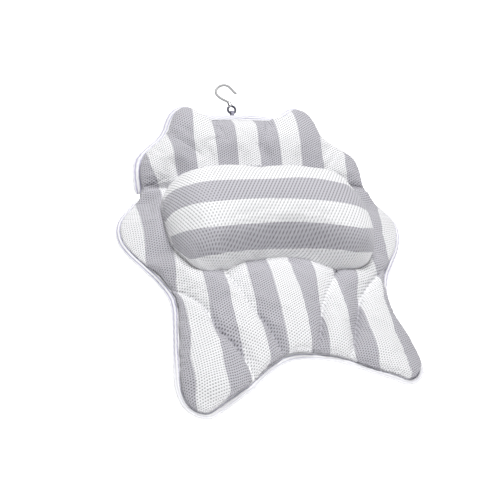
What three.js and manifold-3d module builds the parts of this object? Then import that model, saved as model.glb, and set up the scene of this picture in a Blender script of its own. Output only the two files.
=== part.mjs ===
// Bath pillow: two padded air-mesh panels joined by a sewn fold, a kidney-shaped neck roll,
// six suction cups in eyelets and a swivelling wire hook on a webbing loop.
// Millimetres, +Z up. The lower panel lies on its cups on Z = 0, the head panel is folded up behind it.
import * as THREE from "three";
import { LoftGeometry } from "three/addons/geometries/LoftGeometry.js";
import { mergeVertices } from "three/addons/utils/BufferGeometryUtils.js";
import Module from "manifold-3d";

// ---------------------------------------------------------------- driving dimensions
const FOLD_DEG = 25; // head panel's fold at rest, from flat
const BASE_Z = 18; // height of the panels' edge plane (and of the fold axis) above the ground
const Y_SHIFT = 86.5816; // moves the assembly so that the origin is the bottom centre of its box
const GAP = 0.3; // clearance between touching pieces

const BACK_T = 2; // back cover thickness
const COVER_T = 2; // front cover thickness
const GUSSET_R = 2.4; // sewn fold gusset

const LOWER_H = 30; // crown of the lower panel above the edge plane
const UPPER_H = 33; // crown of the head panel
const LOWER_C = [0, -150]; // centres that the domes are drawn towards
const UPPER_C = [0, 55];

const BIND_W = 6.4; // binding, across the panel
const BIND_T = 8; // binding, through the panel's thickness
const BIND_Z = 3; // middle of the binding above the edge plane
const EDGE_IN = 8.4; // panel bodies stop this far inside the outline

const ROLL_Z = 28; // widest level of the neck roll above the edge plane
const ROLL_H = 60; // height of the neck roll over that level
const ROLL_C = [0, -80];
const ROLL_SKIN = 2.2;

const CUP_R = 19;
const CUP_LIP = 4; // flat ring round the rim
const NECK_R = 5.2;
const HEAD_R = 8;
const EYE_IN = 5.7; // eyelet bore
const EYE_OUT = 10; // eyelet flange
const EYE_BARREL = 7;
const POCKET_R = 11.5;
const POCKET_H = 9;
const LOWER_CUPS = [
  [128, -48],
  [-128, -48],
  [100, -248],
  [-100, -248],
];
const UPPER_CUPS = [
  [95, 55],
  [-95, 55],
];

const LOOP_X = -9.5; // webbing loop at the top edge
const LOOP_W = 4;
const LOOP_T = 1.2;
const HOOK_H = -3; // plane of the loop and hook, behind the edge plane
const EYE_W = 121.2; // pivot of the hook on the loop, along the head panel
const RING_R = 5.2;
const RING_WIRE = 1.2;
const BARREL_END = 10; // from the ring's centre
const HOOK_LEAN_DEG = 18; // hook leans to the left, as it was left on the loop
const HOOK_WIRE = 1.35;
// Middle line of the hook: across and along the swivel's axis, from the ring's centre.
const HOOK_LINE = [
  [0, 7.2], [0, 8.9], [0, 10.6], [-1.7, 13.2], [-5.6, 17], [-9.2, 21.6], [-11.1, 26.6], [-9.9, 31.2],
  [-5.6, 34.6], [0, 36], [5.4, 35.1], [9.5, 31.7], [11.9, 26.9], [13.3, 22.6], [14.8, 20.5], [17, 20.1],
];

// Right half of the head panel's outline, from the fold to the top centre.
const UPPER_HALF = [
  [152, 6], [152, 16], [152.5, 27], [151, 39], [147, 50], [139.5, 60], [128, 69.5], [116, 79],
  [107, 90], [101, 102], [94, 112.5], [84.5, 119.5], [74, 121.5], [64.5, 118.5], [56, 112.5],
  [43, 109.5], [20, 110], [0, 110.5],
];
// Right half of the lower panel's outline, from the fold to the middle of the arched edge.
const LOWER_HALF = [
  [154, -6], [157.5, -11], [163.5, -19.5], [173.5, -33], [180.5, -47], [183, -62], [181.5, -79],
  [173.5, -99], [160.5, -119.5], [147.5, -139], [137.5, -162], [134, -186], [135, -206], [139, -238],
  [144, -268], [146, -293], [140, -311], [129.5, -321.5], [118, -323.5], [104, -312], [88, -297.5],
  [68, -283.5], [40, -266.5], [18, -257.5], [0, -255],
];
// Right half of the neck roll's plan, from its back to its hollowed front.
const ROLL_HALF = [
  [0, -1.5], [45, -2], [80, -5], [105, -12.5], [121, -28], [128.5, -50], [131, -75], [130.5, -96],
  [127, -114], [119, -130], [107, -141.5], [94, -147], [80, -146], [63, -141], [38, -132.5], [15, -128], [0, -127.3],
];
// Section of a dome: share of the way from the rim to the centre kept, and share of the crown height.
const DOME = [
  [1, 0], [0.985, 0.2], [0.94, 0.42], [0.83, 0.68], [0.62, 0.9], [0.32, 1],
];
// Section of the neck roll: share of the plan, share of the height, share of the depth behind the middle.
const ROLL_RINGS = [
  [1, -0.3, 0.72], [1, 0, 0.76], [0.975, 0.26, 0.95], [0.925, 0.52, 0.98], [0.84, 0.74, 1], [0.71, 0.89, 1],
  [0.52, 0.975, 1], [0.3, 1, 1],
];

// ---------------------------------------------------------------- solids
const wasm = await Module();
wasm.setup();

function solid(geometry) {
  const g = new THREE.BufferGeometry().copy(geometry);
  for (const key of Object.keys(g.attributes)) if (key !== "position") g.deleteAttribute(key);
  const m = mergeVertices(g, 1e-3);
  return new wasm.Manifold(
    new wasm.Mesh({
      numProp: 3,
      vertProperties: new Float32Array(m.attributes.position.array),
      triVerts: new Uint32Array(m.index.array),
    }),
  );
}

function geometryOf(made) {
  const m = made.getMesh();
  return new THREE.BufferGeometry()
    .setAttribute("position", new THREE.BufferAttribute(new Float32Array(m.vertProperties), 3))
    .setIndex(new THREE.BufferAttribute(new Uint32Array(m.triVerts), 1));
}

function moved(geometry, x, y, z) {
  return geometry.clone().translate(x, y, z);
}

// ---------------------------------------------------------------- outlines
function mirrored(half) {
  const left = half.slice(0, -1).reverse().map(([x, y]) => [-x, y]);
  return half.concat(left);
}

// Evenly spaced points along a smooth curve through the given points.
function spaced(points, count, closed = false) {
  const curve = new THREE.CatmullRomCurve3(
    points.map(([x, y]) => new THREE.Vector3(x, y, 0)),
    closed,
    "centripetal",
  );
  const out = curve.getSpacedPoints(count).map((p) => [p.x, p.y]);
  if (closed) out.pop();
  return out;
}

// An open outline moved towards the inside by d; its two ends stay on the fold edge.
function inset(points, d, inside) {
  return points.map(([x, y], i) => {
    const a = points[Math.max(0, i - 1)];
    const b = points[Math.min(points.length - 1, i + 1)];
    let nx = -(b[1] - a[1]);
    let ny = b[0] - a[0];
    const len = Math.hypot(nx, ny);
    nx /= len;
    ny /= len;
    if (nx * (inside[0] - x) + ny * (inside[1] - y) < 0) {
      nx = -nx;
      ny = -ny;
    }
    const end = i === 0 || i === points.length - 1;
    return end ? [x - Math.sign(x) * d * 1.35, y] : [x + nx * d, y + ny * d];
  });
}

function ccw(points) {
  let area = 0;
  points.forEach(([x, y], i) => {
    const [u, v] = points[(i + 1) % points.length];
    area += x * v - u * y;
  });
  return area < 0 ? points.slice().reverse() : points;
}

// A closed dome over an outline, scaled towards its centre ring by ring.
function dome(outline, centre, height, floor) {
  const rings = [[1, null]].concat(DOME);
  const sections = rings.map(([k, h]) =>
    ccw(outline).map(
      ([x, y]) =>
        new THREE.Vector3(
          centre[0] + (x - centre[0]) * k,
          centre[1] + (y - centre[1]) * k,
          h === null ? floor : 2.2 + (height - 2.2) * h,
        ),
    ),
  );
  return new LoftGeometry(sections, { capStart: true, capEnd: true });
}

function plate(outline, holes, radius, z0, z1) {
  const shape = new THREE.Shape(ccw(outline).map(([x, y]) => new THREE.Vector2(x, y)));
  for (const [x, y] of holes) {
    const hole = new THREE.Path();
    for (let i = 0; i <= 12; i++) {
      const a = (-i / 12) * Math.PI * 2;
      const px = x + radius * Math.cos(a);
      const py = y + radius * Math.sin(a);
      if (i === 0) hole.moveTo(px, py);
      else hole.lineTo(px, py);
    }
    shape.holes.push(hole);
  }
  return new THREE.ExtrudeGeometry(shape, { depth: z1 - z0, bevelEnabled: false }).translate(0, 0, z0);
}

function lathe(profile, segments) {
  return new THREE.LatheGeometry(
    profile.map(([r, z]) => new THREE.Vector2(r, z)),
    segments,
  ).rotateX(Math.PI / 2);
}

// A tube of the given section along an open path.
function swept(path, section, steps) {
  const curve = new THREE.CatmullRomCurve3(path, false, "centripetal");
  const shape = new THREE.Shape(section.map(([x, y]) => new THREE.Vector2(x, y)));
  return new THREE.ExtrudeGeometry(shape, { steps, extrudePath: curve, bevelEnabled: false });
}

function ellipse(a, b, sides) {
  return Array.from({ length: sides }, (_, i) => {
    const t = ((i + 0.5) / sides) * Math.PI * 2;
    return [(a / 2) * Math.cos(t), (b / 2) * Math.sin(t)];
  });
}

// ---------------------------------------------------------------- materials
const mesh3d = { color: 0xb9b8c0, roughness: 0.95, metalness: 0 };
const white = { color: 0xf1f1f4, roughness: 0.9, metalness: 0 };
const LOOKS = {
  front: mesh3d,
  back: white,
  binding: { color: 0xf4f4f8, roughness: 0.75, metalness: 0 },
  filling: { color: 0xe6e4de, roughness: 1, metalness: 0 },
  roll: { color: 0xc9c8cf, roughness: 0.95, metalness: 0 },
  cup: { color: 0xe8ecee, roughness: 0.25, metalness: 0 },
  eyelet: { color: 0xdfe1e4, roughness: 0.4, metalness: 0 },
  webbing: { color: 0xd9d8dc, roughness: 0.85, metalness: 0 },
  swivel: { color: 0x4a4950, roughness: 0.35, metalness: 0.9 },
  wire: { color: 0xb4b5b8, roughness: 0.25, metalness: 1 },
};

function piece(name, geometry, look) {
  const mesh = new THREE.Mesh(geometry, new THREE.MeshStandardMaterial(LOOKS[look]));
  mesh.name = name;
  return mesh;
}

// ---------------------------------------------------------------- one padded panel
function panel(prefix, half, count, centre, crown, cups) {
  const outline = spaced(mirrored(half), count);
  const body = inset(outline, EDGE_IN, centre);
  const inner = inset(outline, EDGE_IN + COVER_T, centre);
  const core = inset(outline, EDGE_IN + COVER_T + GAP, centre);

  // the covers also stop short of the fold edge
  const back = [centre[0], centre[1]];
  const pull = (points, d) =>
    points.map(([x, y], i) =>
      i === 0 || i === points.length - 1 ? [x, y + Math.sign(back[1] - y) * d] : [x, y],
    );
  const innerFold = pull(inner, COVER_T);
  const coreFold = pull(core, COVER_T + GAP);

  const outer = solid(dome(body, centre, crown, GAP));
  const hollow = solid(dome(innerFold, centre, crown - COVER_T, -5));
  const cover = outer.subtract(hollow);

  let pad = solid(dome(coreFold, centre, crown - COVER_T - GAP * 1.5, GAP));
  for (const [x, y] of cups) {
    const pocket = new THREE.CylinderGeometry(POCKET_R, POCKET_R, POCKET_H + 5, 12)
      .rotateX(Math.PI / 2)
      .translate(x, y, (POCKET_H - 5) / 2);
    pad = pad.subtract(solid(pocket));
  }

  const bindPath = inset(outline, BIND_W / 2, centre).map(([x, y]) => new THREE.Vector3(x, y, BIND_Z));
  const binding = swept(bindPath, ellipse(BIND_T, BIND_W, 6), count + 4);

  return {
    outer,
    nodes: [
      piece(prefix + "_front_cover", geometryOf(cover), "front"),
      piece(prefix + "_pad", geometryOf(pad), "filling"),
      piece(prefix + "_back_cover", plate(body, cups, EYE_BARREL + GAP, -BACK_T, 0), "back"),
      piece(prefix + "_binding", binding, "binding"),
    ],
  };
}

const lower = panel("lower", LOWER_HALF, 52, LOWER_C, LOWER_H, LOWER_CUPS);
const upper = panel("upper", UPPER_HALF, 36, UPPER_C, UPPER_H, UPPER_CUPS);

// ---------------------------------------------------------------- neck roll
const rollPlan = spaced(mirrored(ROLL_HALF).slice(0, -1), 32, true);

function roll(skin) {
  const k = 1 - skin / 75;
  const kx = 1 - skin / 133;
  const sections = ROLL_RINGS.map(([s, h, back]) =>
    ccw(rollPlan).map(
      ([x, y]) =>
        new THREE.Vector3(
          ROLL_C[0] + (x - ROLL_C[0]) * s * kx,
          ROLL_C[1] + (y - ROLL_C[1]) * s * k * (y > ROLL_C[1] ? back : 1),
          ROLL_Z + (ROLL_H - skin) * h,
        ),
    ),
  );
  return solid(new LoftGeometry(sections, { capStart: true, capEnd: true }));
}

const seat = lower.outer.translate([0, 0, 0.5]); // the padded surface that the roll is sewn down on
const rollShell = roll(0).subtract(seat).subtract(roll(ROLL_SKIN));
const rollFill = roll(ROLL_SKIN + GAP).subtract(seat);

// ---------------------------------------------------------------- fold, cups, eyelets
const gusset = new THREE.CylinderGeometry(GUSSET_R, GUSSET_R, 2 * 142, 10).rotateZ(Math.PI / 2);

function eyelet(x, y) {
  const t = BACK_T;
  return moved(
    lathe(
      [
        [EYE_IN, -t - 1.3], [EYE_OUT, -t - 1.3], [EYE_OUT, -t - GAP], [EYE_BARREL, -t - GAP],
        [EYE_BARREL, GAP], [EYE_OUT, GAP], [EYE_OUT, GAP + 1], [EYE_IN, GAP + 1], [EYE_IN, -t - 1.3],
      ],
      12,
    ),
    x,
    y,
    0,
  );
}

function cup(x, y) {
  const top = BACK_T + 1.3 + GAP; // underside of the eyelet
  return moved(
    lathe(
      [
        [0, -BASE_Z + 2.6], [CUP_R - CUP_LIP, -BASE_Z], [CUP_R, -BASE_Z],
        [CUP_R, -BASE_Z + 1.4], [15, -BASE_Z + 5.2], [9.5, -BASE_Z + 8.6], [7.4, -BASE_Z + 11],
        [7.4, -top], [NECK_R, -top], [NECK_R, GAP + 1 + GAP], [HEAD_R, GAP + 1 + GAP],
        [HEAD_R - 0.6, 4.4], [4, 6.6], [0, 7],
      ],
      12,
    ),
    x,
    y,
    0,
  );
}

// ---------------------------------------------------------------- loop, swivel and hook, in the head panel's frame
const loopShape = new THREE.Shape();
const LOOP_MID = EYE_W - 3.2;
// side view: x runs along the panel, y through its thickness
loopShape.moveTo(90, HOOK_H - LOOP_T / 2);
for (let i = 0; i <= 18; i++) {
  const a = Math.PI + 0.137 + (i / 18) * (2 * Math.PI - 0.274);
  loopShape.lineTo(LOOP_MID + 7.1 * Math.cos(a), HOOK_H + 4.4 * Math.sin(a));
}
loopShape.lineTo(90, HOOK_H + LOOP_T / 2);
const eye = new THREE.Path();
for (let i = 0; i <= 16; i++) {
  const a = (-i / 16) * Math.PI * 2;
  const px = LOOP_MID + (7.1 - LOOP_T) * Math.cos(a);
  const py = HOOK_H + (4.4 - LOOP_T) * Math.sin(a);
  if (i === 0) eye.moveTo(px, py);
  else eye.lineTo(px, py);
}
loopShape.holes.push(eye);
const loop = new THREE.ExtrudeGeometry(loopShape, { depth: LOOP_W, bevelEnabled: false })
  .applyMatrix4(new THREE.Matrix4().set(0, 0, 1, LOOP_X - LOOP_W / 2, 1, 0, 0, 0, 0, 1, 0, 0, 0, 0, 0, 1));

// hook frame: +Y along the shank, +X towards the point, from the ring's centre
const lean = new THREE.Matrix4()
  .makeTranslation(LOOP_X, EYE_W + RING_R, HOOK_H)
  .multiply(new THREE.Matrix4().makeRotationZ((HOOK_LEAN_DEG * Math.PI) / 180));

const ring = solid(new THREE.TorusGeometry(RING_R, RING_WIRE, 6, 16));
const along = (radius, low, high) =>
  solid(new THREE.CylinderGeometry(radius, radius, high - low, 10).translate(0, (low + high) / 2, 0));
const barrel = along(3.3, 4.4, BARREL_END);
const bore = along(HOOK_WIRE + 0.45, 8, BARREL_END + 2).add(along(2.5, 6.8, 8.6)); // throat and the chamber behind it
const swivel = geometryOf(ring.add(barrel).subtract(bore)).applyMatrix4(lean);

const wire = solid(
  swept(
    HOOK_LINE.map(([x, y]) => new THREE.Vector3(x, y, 0)),
    ellipse(2 * HOOK_WIRE, 2 * HOOK_WIRE, 6),
    34,
  ),
);
const hook = geometryOf(wire.add(along(2.15, 7.2, 8.2))).applyMatrix4(lean); // headed end, held in the chamber

// ---------------------------------------------------------------- assembly
const lowerPanel = new THREE.Group();
lowerPanel.position.set(0, 0, BASE_Z);
lowerPanel.add(...lower.nodes);
lowerPanel.add(piece("neck_roll_cover", geometryOf(rollShell), "roll"));
lowerPanel.add(piece("neck_roll_fill", geometryOf(rollFill), "filling"));
lowerPanel.add(piece("fold_gusset", gusset, "back"));
LOWER_CUPS.forEach(([x, y], i) => {
  lowerPanel.add(piece("cup_eyelet_" + (i + 1), eyelet(x, y), "eyelet"));
  lowerPanel.add(piece("suction_cup_" + (i + 1), cup(x, y), "cup"));
});

const upperPanel = new THREE.Group();
upperPanel.position.set(0, 0, BASE_Z);
upperPanel.rotation.x = (FOLD_DEG * Math.PI) / 180;
upperPanel.add(...upper.nodes);
UPPER_CUPS.forEach(([x, y], i) => {
  upperPanel.add(piece("cup_eyelet_" + (i + 5), eyelet(x, y), "eyelet"));
  upperPanel.add(piece("suction_cup_" + (i + 5), cup(x, y), "cup"));
});
upperPanel.add(piece("hanger_loop", loop, "webbing"));
upperPanel.add(piece("hook_swivel", swivel, "swivel"));
upperPanel.add(piece("hook", hook, "wire"));

const assembly = new THREE.Group();
assembly.position.y = Y_SHIFT;
assembly.add(lowerPanel, upperPanel);

const group = new THREE.Group();
group.add(assembly);

export default group;
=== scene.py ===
import math

import bmesh
import bpy
import numpy as np
from mathutils import Matrix, Vector
from mathutils.geometry import delaunay_2d_cdt
from mathutils.kdtree import KDTree


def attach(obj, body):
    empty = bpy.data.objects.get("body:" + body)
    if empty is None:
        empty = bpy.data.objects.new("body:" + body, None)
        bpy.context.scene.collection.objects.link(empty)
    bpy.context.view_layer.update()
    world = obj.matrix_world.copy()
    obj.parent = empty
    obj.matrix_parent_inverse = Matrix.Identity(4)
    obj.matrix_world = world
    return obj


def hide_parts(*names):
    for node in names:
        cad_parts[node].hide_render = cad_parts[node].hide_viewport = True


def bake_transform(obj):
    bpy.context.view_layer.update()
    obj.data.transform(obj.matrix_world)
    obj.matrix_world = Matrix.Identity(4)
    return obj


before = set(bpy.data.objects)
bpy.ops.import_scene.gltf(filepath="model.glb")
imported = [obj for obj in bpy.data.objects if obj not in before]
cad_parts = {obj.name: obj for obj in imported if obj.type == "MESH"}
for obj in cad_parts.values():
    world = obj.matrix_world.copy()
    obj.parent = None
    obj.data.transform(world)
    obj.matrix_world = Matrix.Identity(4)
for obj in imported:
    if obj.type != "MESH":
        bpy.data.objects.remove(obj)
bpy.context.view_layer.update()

# ------------------------------------------------------------------ dimensions, in mm, as in the CAD source
MM = 0.001
Y_SHIFT, BASE_Z = 86.5816, 18.0
FOLD = math.radians(25)
CF, SF = math.cos(FOLD), math.sin(FOLD)
STRIPE = 28.0
SEAM_IN = 5.4  # the front fabric meets the binding this far inside the outline
SEAM_H = 3.0
LOWER_CROWN, UPPER_CROWN = 30.0, 33.0
GRID = 3.2

UPPER_HALF = [
    (152, 6), (152, 16), (152.5, 27), (151, 39), (147, 50), (139.5, 60), (128, 69.5), (116, 79),
    (107, 90), (101, 102), (94, 112.5), (84.5, 119.5), (74, 121.5), (64.5, 118.5), (56, 112.5),
    (43, 109.5), (20, 110), (0, 110.5),
]
LOWER_HALF = [
    (154, -6), (157.5, -11), (163.5, -19.5), (173.5, -33), (180.5, -47), (183, -62), (181.5, -79),
    (173.5, -99), (160.5, -119.5), (147.5, -139), (137.5, -162), (134, -186), (135, -206), (139, -238),
    (144, -268), (146, -293), (140, -311), (129.5, -321.5), (118, -323.5), (104, -312), (88, -297.5),
    (68, -283.5), (40, -266.5), (18, -257.5), (0, -255),
]
# where the neck roll is sewn to the lower panel, its height over that line, and how far in it takes to round off
ROLL_LINE = [
    (0, -1.5), (45, -2), (76, -4.5), (100, -11), (117, -27), (127, -50), (131, -76), (131.5, -97), (129.5, -115),
    (122, -131.5), (109, -142), (94, -146.5), (80, -145.5), (64, -141), (40, -132.5), (15, -127.5), (-8, -128),
    (-35, -133), (-62, -141), (-82, -146.5), (-95, -147), (-107, -140.5), (-117, -128), (-125, -112), (-129.5, -92),
    (-131, -70), (-130, -50), (-125, -28), (-111, -13.5), (-88, -5.5), (-52, -2),
]
ROLL_BASE, ROLL_HIGH, ROLL_REACH = 26.0, 71.0, 30.0
# along its front the roll runs out to the seam: height over the seam, by distance from it
ROLL_FRONT = [(0, 0), (2, 4.2), (4, 8.6), (6, 13.2), (8, 18.4), (10, 24.6), (12, 31), (14, 36.6), (17, 42.6), (20, 46.8), (24, 50.6)]
# the edges of the roll's stripes, from the back to the front: place over the crest's line, by position along it
ROLL_EDGES = [
    [(0, 85)], [(0, 51)], [(0, 17)], [(0, -17)],
    [
        (-102, -43.5), (-90, -48), (-78, -50.3), (-66, -51.7), (-54, -53), (-42, -54.2), (-30, -55.5), (-18, -56.5),
        (-6, -57.1), (6, -57.1), (18, -56.6), (30, -55.6), (42, -54.3), (54, -53.2), (66, -52.5), (78, -52.4),
        (90, -52.9), (102, -53.6), (114, -53.4), (126, -50.4),
    ],
    [
        (-90, -96.7), (-78, -96.3), (-66, -96), (-54, -95.5), (-42, -94.9), (-30, -94), (-18, -93), (-6, -92.1),
        (6, -91.3), (18, -90.8), (30, -90.6), (42, -90.7), (54, -91.2), (66, -92.1), (78, -93.1), (90, -94.4),
        (102, -95.8), (114, -97.5), (126, -99.6), (138, -102.5), (150, -106.7),
    ],
    [
        (-96, -153.9), (-84, -146.9), (-72, -142.4), (-60, -139.5), (-48, -137.7), (-36, -136.3), (-24, -135.2),
        (-12, -134.2), (0, -133.3), (12, -132.4), (24, -131.7), (36, -131.1), (48, -130.8), (60, -130.9),
        (72, -131.3), (84, -132.1), (96, -133.3), (108, -134.8), (120, -136.6), (132, -138.7), (144, -140.9),
    ],
    [
        (-78, -191.3), (-66, -189.4), (-54, -186.3), (-42, -183), (-30, -180.2), (-18, -178.1), (-6, -176.7),
        (6, -176), (18, -175.7), (30, -175.7), (42, -175.7), (54, -175.6), (66, -175.4), (78, -175.2), (90, -175.2),
        (102, -175.5), (114, -176.6), (126, -178.7), (138, -182),
    ],
    [(0, -240)],
]
LOWER_CUPS = [(128, -48), (-128, -48), (100, -248), (-100, -248)]
UPPER_CUPS = [(95, 55), (-95, 55)]
LOOP_X, EYE_W, RING_R, HOOK_H = -9.5, 121.2, 5.2, -3.0
LEAN = math.radians(18)
HOOK_WIRE = 1.75
# skew of the lower edge, in mm along the panel, over the panel's width
LIE_U = [-150, -135, -118, -88, -68, -40, -18, 0, 18, 40, 68, 88, 104, 118, 135, 150]
LIE_V = [-8, -9, -11, -20, -22, -15, -11, -9, -7, -1, 4, 6, 9, 12, 13, 14]
HOOK_LINE = [
    (0, 7.2), (0, 8.9), (0, 10.6), (-1.7, 13.2), (-5.6, 17), (-9.2, 21.6), (-11.1, 26.6), (-9.9, 31.2),
    (-5.6, 34.6), (0, 36), (5.4, 35.1), (9.5, 31.7), (11.9, 26.9), (13.3, 22.6), (14.8, 20.5), (17, 20.1),
]


# ------------------------------------------------------------------ camera
def make_camera():
    psi, elev, roll = (math.radians(x) for x in (24.66, 42.38, 17.28))
    focal = 1300.0  # pixels of a 500 pixel frame
    distance = focal * 28.0 / 21.65 * MM
    look = np.array([math.sin(psi) * math.cos(elev), math.cos(psi) * math.cos(elev), -math.sin(elev)])
    right = np.array([math.cos(psi), -math.sin(psi), 0.0])
    up = np.array([math.sin(psi) * math.sin(elev), math.cos(psi) * math.sin(elev), math.cos(elev)])
    r = math.cos(roll) * right + math.sin(roll) * up
    u = -math.sin(roll) * right + math.cos(roll) * up
    place = np.array([0.0, Y_SHIFT * MM, BASE_Z * MM]) - look * distance
    # the fold's middle sits at pixel (249.0, 199.1), so the axis is turned to the frame's centre
    axis = look + r * (250 - 249.0) / focal - u * (250 - 199.1) / focal
    axis /= np.linalg.norm(axis)
    r = r - axis * (r @ axis)
    r /= np.linalg.norm(r)
    u = np.cross(r, axis)
    data = bpy.data.cameras.new("camera")
    data.sensor_fit = "HORIZONTAL"
    data.sensor_width = 36.0
    data.lens = focal / 500.0 * 36.0
    data.clip_start, data.clip_end = 0.05, 50.0
    cam = bpy.data.objects.new("camera", data)
    bpy.context.scene.collection.objects.link(cam)
    m = np.eye(4)
    m[:3, 0], m[:3, 1], m[:3, 2], m[:3, 3] = r, u, -axis, place
    cam.matrix_world = Matrix(m.tolist())
    bpy.context.scene.camera = cam


make_camera()


# ------------------------------------------------------------------ plane geometry
def spline(points, step, closed=False):
    """Points at an even spacing along a smooth centripetal curve through the given points."""
    p = np.array(points, float)
    n = len(p)
    if closed:
        p = np.vstack([p[-1], p, p[0], p[1]])
        spans = n
    else:
        p = np.vstack([2 * p[0] - p[1], p, 2 * p[-1] - p[-2]])
        spans = n - 1
    out = []
    for i in range(spans):
        a, b, c, d = p[i : i + 4]
        t0 = 0.0
        t1 = t0 + math.sqrt(max(np.linalg.norm(b - a), 1e-6))
        t2 = t1 + math.sqrt(max(np.linalg.norm(c - b), 1e-6))
        t3 = t2 + math.sqrt(max(np.linalg.norm(d - c), 1e-6))
        t = np.linspace(t1, t2, 24, endpoint=False)[:, None]
        a1 = (t1 - t) / (t1 - t0) * a + (t - t0) / (t1 - t0) * b
        a2 = (t2 - t) / (t2 - t1) * b + (t - t1) / (t2 - t1) * c
        a3 = (t3 - t) / (t3 - t2) * c + (t - t2) / (t3 - t2) * d
        b1 = (t2 - t) / (t2 - t0) * a1 + (t - t0) / (t2 - t0) * a2
        b2 = (t3 - t) / (t3 - t1) * a2 + (t - t1) / (t3 - t1) * a3
        out.append((t2 - t) / (t2 - t1) * b1 + (t - t1) / (t2 - t1) * b2)
    dense = np.vstack(out + ([] if closed else [p[-2][None]]))
    if closed:
        dense = np.vstack([dense, dense[:1]])
    run = np.r_[0, np.cumsum(np.linalg.norm(np.diff(dense, axis=0), axis=1))]
    count = max(4, int(round(run[-1] / step)))
    at = np.linspace(0, run[-1], count + 1)
    even = np.stack([np.interp(at, run, dense[:, k]) for k in range(p.shape[1])], 1)
    return even[:-1] if closed else even


def mirrored(half):
    return list(half) + [(-x, y) for x, y in reversed(half[:-1])]


def ccw(p):
    x, y = p[:, 0], p[:, 1]
    area = np.sum(x * np.roll(y, -1) - np.roll(x, -1) * y)
    return p if area > 0 else p[::-1].copy()


def inward(p, closed=True):
    """Unit normals to the left of the direction of travel: the inside of a counter-clockwise outline."""
    if closed:
        t = np.roll(p, -1, 0) - np.roll(p, 1, 0)
    else:
        t = np.gradient(p, axis=0)
    n = np.stack([-t[:, 1], t[:, 0]], 1)
    return n / np.linalg.norm(n, axis=1)[:, None]


def nearest(points, poly, closed=True):
    """Distance from each point to a polyline, and the nearest point on it."""
    a = poly
    b = np.roll(poly, -1, 0) if closed else poly[1:]
    if not closed:
        a = poly[:-1]
    ab = b - a
    ll = np.maximum((ab**2).sum(1), 1e-12)
    dist = np.empty(len(points))
    foot = np.empty((len(points), 2))
    run = np.r_[0, np.cumsum(np.sqrt(ll))]
    along = np.empty(len(points))
    for s in range(0, len(points), 2000):
        p = points[s : s + 2000]
        t = np.clip(((p[:, None] - a) * ab).sum(2) / ll, 0, 1)
        f = a + t[..., None] * ab
        d = np.linalg.norm(p[:, None] - f, axis=2)
        k = d.argmin(1)
        i = np.arange(len(p))
        dist[s : s + 2000] = d[i, k]
        foot[s : s + 2000] = f[i, k]
        along[s : s + 2000] = run[k] + t[i, k] * np.sqrt(ll[k])
    return dist, foot, along


def inside(points, poly):
    hit = np.zeros(len(points), bool)
    x0, y0 = poly[:, 0], poly[:, 1]
    x1, y1 = np.roll(x0, -1), np.roll(y0, -1)
    for s in range(0, len(points), 4000):
        p = points[s : s + 4000]
        cond = (y0 > p[:, 1:2]) != (y1 > p[:, 1:2])
        xc = x0 + (p[:, 1:2] - y0) * (x1 - x0) / np.where(np.abs(y1 - y0) < 1e-12, 1e-12, y1 - y0)
        hit[s : s + 4000] = (np.sum(cond & (p[:, 0:1] < xc), 1) % 2) == 1
    return hit


def plan_mesh(edge, grid, rings, lines=()):
    """Triangles over the inside of a closed outline: the outline, rows close to it, rows along the given lines,
    and an even grid."""
    sets = [edge]
    ties = [(i, (i + 1) % len(edge)) for i in range(len(edge))]
    rows = []
    for line in lines:
        far, _, _ = nearest(line, edge)
        line = line[(far > 1.6) & inside(line, edge)]
        near = [nearest(line, r, closed=False)[0] for r in rows]
        line = line[np.min(near, axis=0) > 2.0] if near else line
        start = sum(len(q) for q in sets)
        ties += [(start + i, start + i + 1) for i in range(len(line) - 1)]
        sets.append(line)
        rows.append(line)
    for line in list(rows):
        side = inward(line, closed=False)
        for off in (1.2, 2.7, 4.8):
            for q in (line + side * off, line - side * off):
                far, _, _ = nearest(q, edge)
                near = np.min([nearest(q, r, closed=False)[0] for r in rows], axis=0)
                sets.append(q[(far > off + 1.0) & inside(q, edge) & (near > off - 0.2)])
    for d in rings:
        ring = edge + inward(edge) * d
        ring = ring[::2] if d > 16 else ring
        far, _, _ = nearest(ring, edge)
        ring = ring[(far > 0.88 * d) & inside(ring, edge)]
        if rows:
            ring = ring[np.min([nearest(ring, r, closed=False)[0] for r in rows], axis=0) > 5.6]
        sets.append(ring)
    lo, hi = edge.min(0), edge.max(0)
    pts = []
    for k, y in enumerate(np.arange(lo[1], hi[1], grid * 0.866)):
        xs = np.arange(lo[0] + (k % 2) * grid / 2, hi[0], grid)
        pts.append(np.stack([xs, np.full_like(xs, y)], 1))
    pts = np.vstack(pts)
    pts = pts[inside(pts, edge)]
    far, _, _ = nearest(pts, edge)
    pts = pts[far > (rings[-1] if rings else 0) + 0.7 * grid]
    if rows:
        pts = pts[np.min([nearest(pts, r, closed=False)[0] for r in rows], axis=0) > 6.2]
    sets.append(pts)
    allp = np.vstack(sets)
    got = delaunay_2d_cdt([Vector((float(x), float(y))) for x, y in allp], ties, [], 1, 1e-5)
    verts = np.array([(v.x, v.y) for v in got[0]])
    tris = np.array([f for f in got[2] if len(f) == 3], int)
    a, b, c = verts[tris[:, 0]], verts[tris[:, 1]], verts[tris[:, 2]]
    flip = (b[:, 0] - a[:, 0]) * (c[:, 1] - a[:, 1]) - (b[:, 1] - a[:, 1]) * (c[:, 0] - a[:, 0]) < 0
    tris[flip] = tris[flip][:, ::-1]
    return verts, tris


def rim_of(tris, count):
    """True for the vertices on the outer edge of a triangle mesh."""
    e = np.sort(np.vstack([tris[:, [0, 1]], tris[:, [1, 2]], tris[:, [2, 0]]]), axis=1)
    key, seen = np.unique(e, axis=0, return_counts=True)
    on = np.zeros(count, bool)
    on[key[seen == 1].ravel()] = True
    return on


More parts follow.
